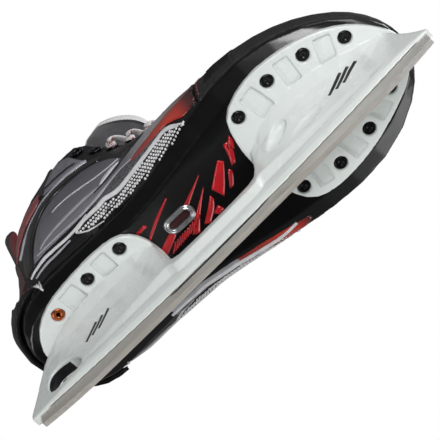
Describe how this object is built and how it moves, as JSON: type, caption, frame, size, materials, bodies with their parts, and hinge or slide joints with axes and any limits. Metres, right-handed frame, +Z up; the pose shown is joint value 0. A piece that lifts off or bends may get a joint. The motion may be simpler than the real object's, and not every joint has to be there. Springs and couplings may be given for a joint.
{
  "type": "ice skate",
  "caption": "Stiff lace-up boot riveted to a white blade holder with a bolted steel runner, a flexing tendon guard and a padded tongue; the runner drops out of its slot.",
  "frame": {"origin": "on the runner's ground edge at the middle of the blade, where the skate rests on a flat surface", "axes": "+X towards the toe, +Y to the inner side of a right foot, +Z up"},
  "size_m": [0.291, 0.1057, 0.2523],
  "materials": {
    "runner_steel": "ground and satin polished stainless steel",
    "zinc_steel": "zinc plated",
    "holder_nylon": "glossy white moulded nylon",
    "rivet_black": "black oxide steel",
    "rivet_copper": "bare copper",
    "outsole_composite": "gloss black composite with red shards",
    "vent_chrome": "chrome plated",
    "vent_screen": "dark red woven screen",
    "toe_cap_plastic": "grained black plastic",
    "heel_cup_plastic": "smooth satin black plastic",
    "quarter_composite": "silver grey composite with black, red and white layers",
    "liner_fabric": "brushed dark lining",
    "footbed_foam": "foam footbed",
    "tongue_felt": "white felt with grey facing",
    "eyelet_metal": "gunmetal",
    "lace_cotton": "waxed white lace with red flecks",
    "aglet_plastic": "clear plastic",
    "guard_plastic": "black with red sides"
  },
  "bodies": {
    "boot": {"blade_holder": "holder_nylon", "front_washer": "zinc_steel", "front_nut": "zinc_steel", "front_rivet_right_1": "rivet_black", "front_rivet_right_2": "rivet_black", "front_rivet_right_3": "rivet_black", "front_rivet_right_4": "rivet_black", "front_rivet_left_1": "rivet_black", "front_rivet_left_2": "rivet_black", "front_rivet_left_3": "rivet_black", "front_rivet_left_4": "rivet_black", "rear_washer": "zinc_steel", "rear_nut": "zinc_steel", "rear_rivet_right_1": "rivet_black", "rear_rivet_right_2": "rivet_black", "rear_rivet_right_3": "rivet_copper", "rear_rivet_left_1": "rivet_black", "rear_rivet_left_2": "rivet_black", "rear_rivet_left_3": "rivet_copper", "outsole": "outsole_composite", "vent_grommet": "vent_chrome", "vent_mesh": "vent_screen", "footbed": "footbed_foam", "toe_cap": "toe_cap_plastic", "heel_cup": "heel_cup_plastic", "quarter_right": "quarter_composite", "liner_right": "liner_fabric", "eyelet_right_1": "eyelet_metal", "eyelet_right_2": "eyelet_metal", "eyelet_right_3": "eyelet_metal", "eyelet_right_4": "eyelet_metal", "eyelet_right_5": "eyelet_metal", "eyelet_right_6": "eyelet_metal", "eyelet_right_7": "eyelet_metal", "eyelet_right_8": "eyelet_metal", "quarter_left": "quarter_composite", "liner_left": "liner_fabric", "eyelet_left_1": "eyelet_metal", "eyelet_left_2": "eyelet_metal", "eyelet_left_3": "eyelet_metal", "eyelet_left_4": "eyelet_metal", "eyelet_left_5": "eyelet_metal", "eyelet_left_6": "eyelet_metal", "eyelet_left_7": "eyelet_metal", "eyelet_left_8": "eyelet_metal", "tongue_lower": "tongue_felt", "lace": "lace_cotton", "aglet_first": "aglet_plastic", "aglet_second": "aglet_plastic"},
    "runner": {"runner": "runner_steel", "front_clamp_stud": "zinc_steel", "rear_clamp_stud": "zinc_steel"},
    "tongue_top": {"tongue_upper": "tongue_felt"},
    "tendon_guard": {"tendon_guard": "guard_plastic"}
  },
  "joints": [
    {"name": "runner_release", "type": "slide", "parent": "boot", "child": "runner", "axis": [0, 0, -1], "range_m": [0, 0.008]},
    {"name": "tongue_flex", "type": "hinge", "parent": "boot", "child": "tongue_top", "pos_m": [-0.042, 0, 0.1845], "axis": [0, 1, 0], "range_deg": [0, 25], "stiffness_Nm_per_rad": 0.2},
    {"name": "tendon_guard_flex", "type": "hinge", "parent": "boot", "child": "tendon_guard", "pos_m": [-0.131, 0, 0.175], "axis": [0, -1, 0], "range_deg": [-5, 25], "stiffness_Nm_per_rad": 1}
  ]
}
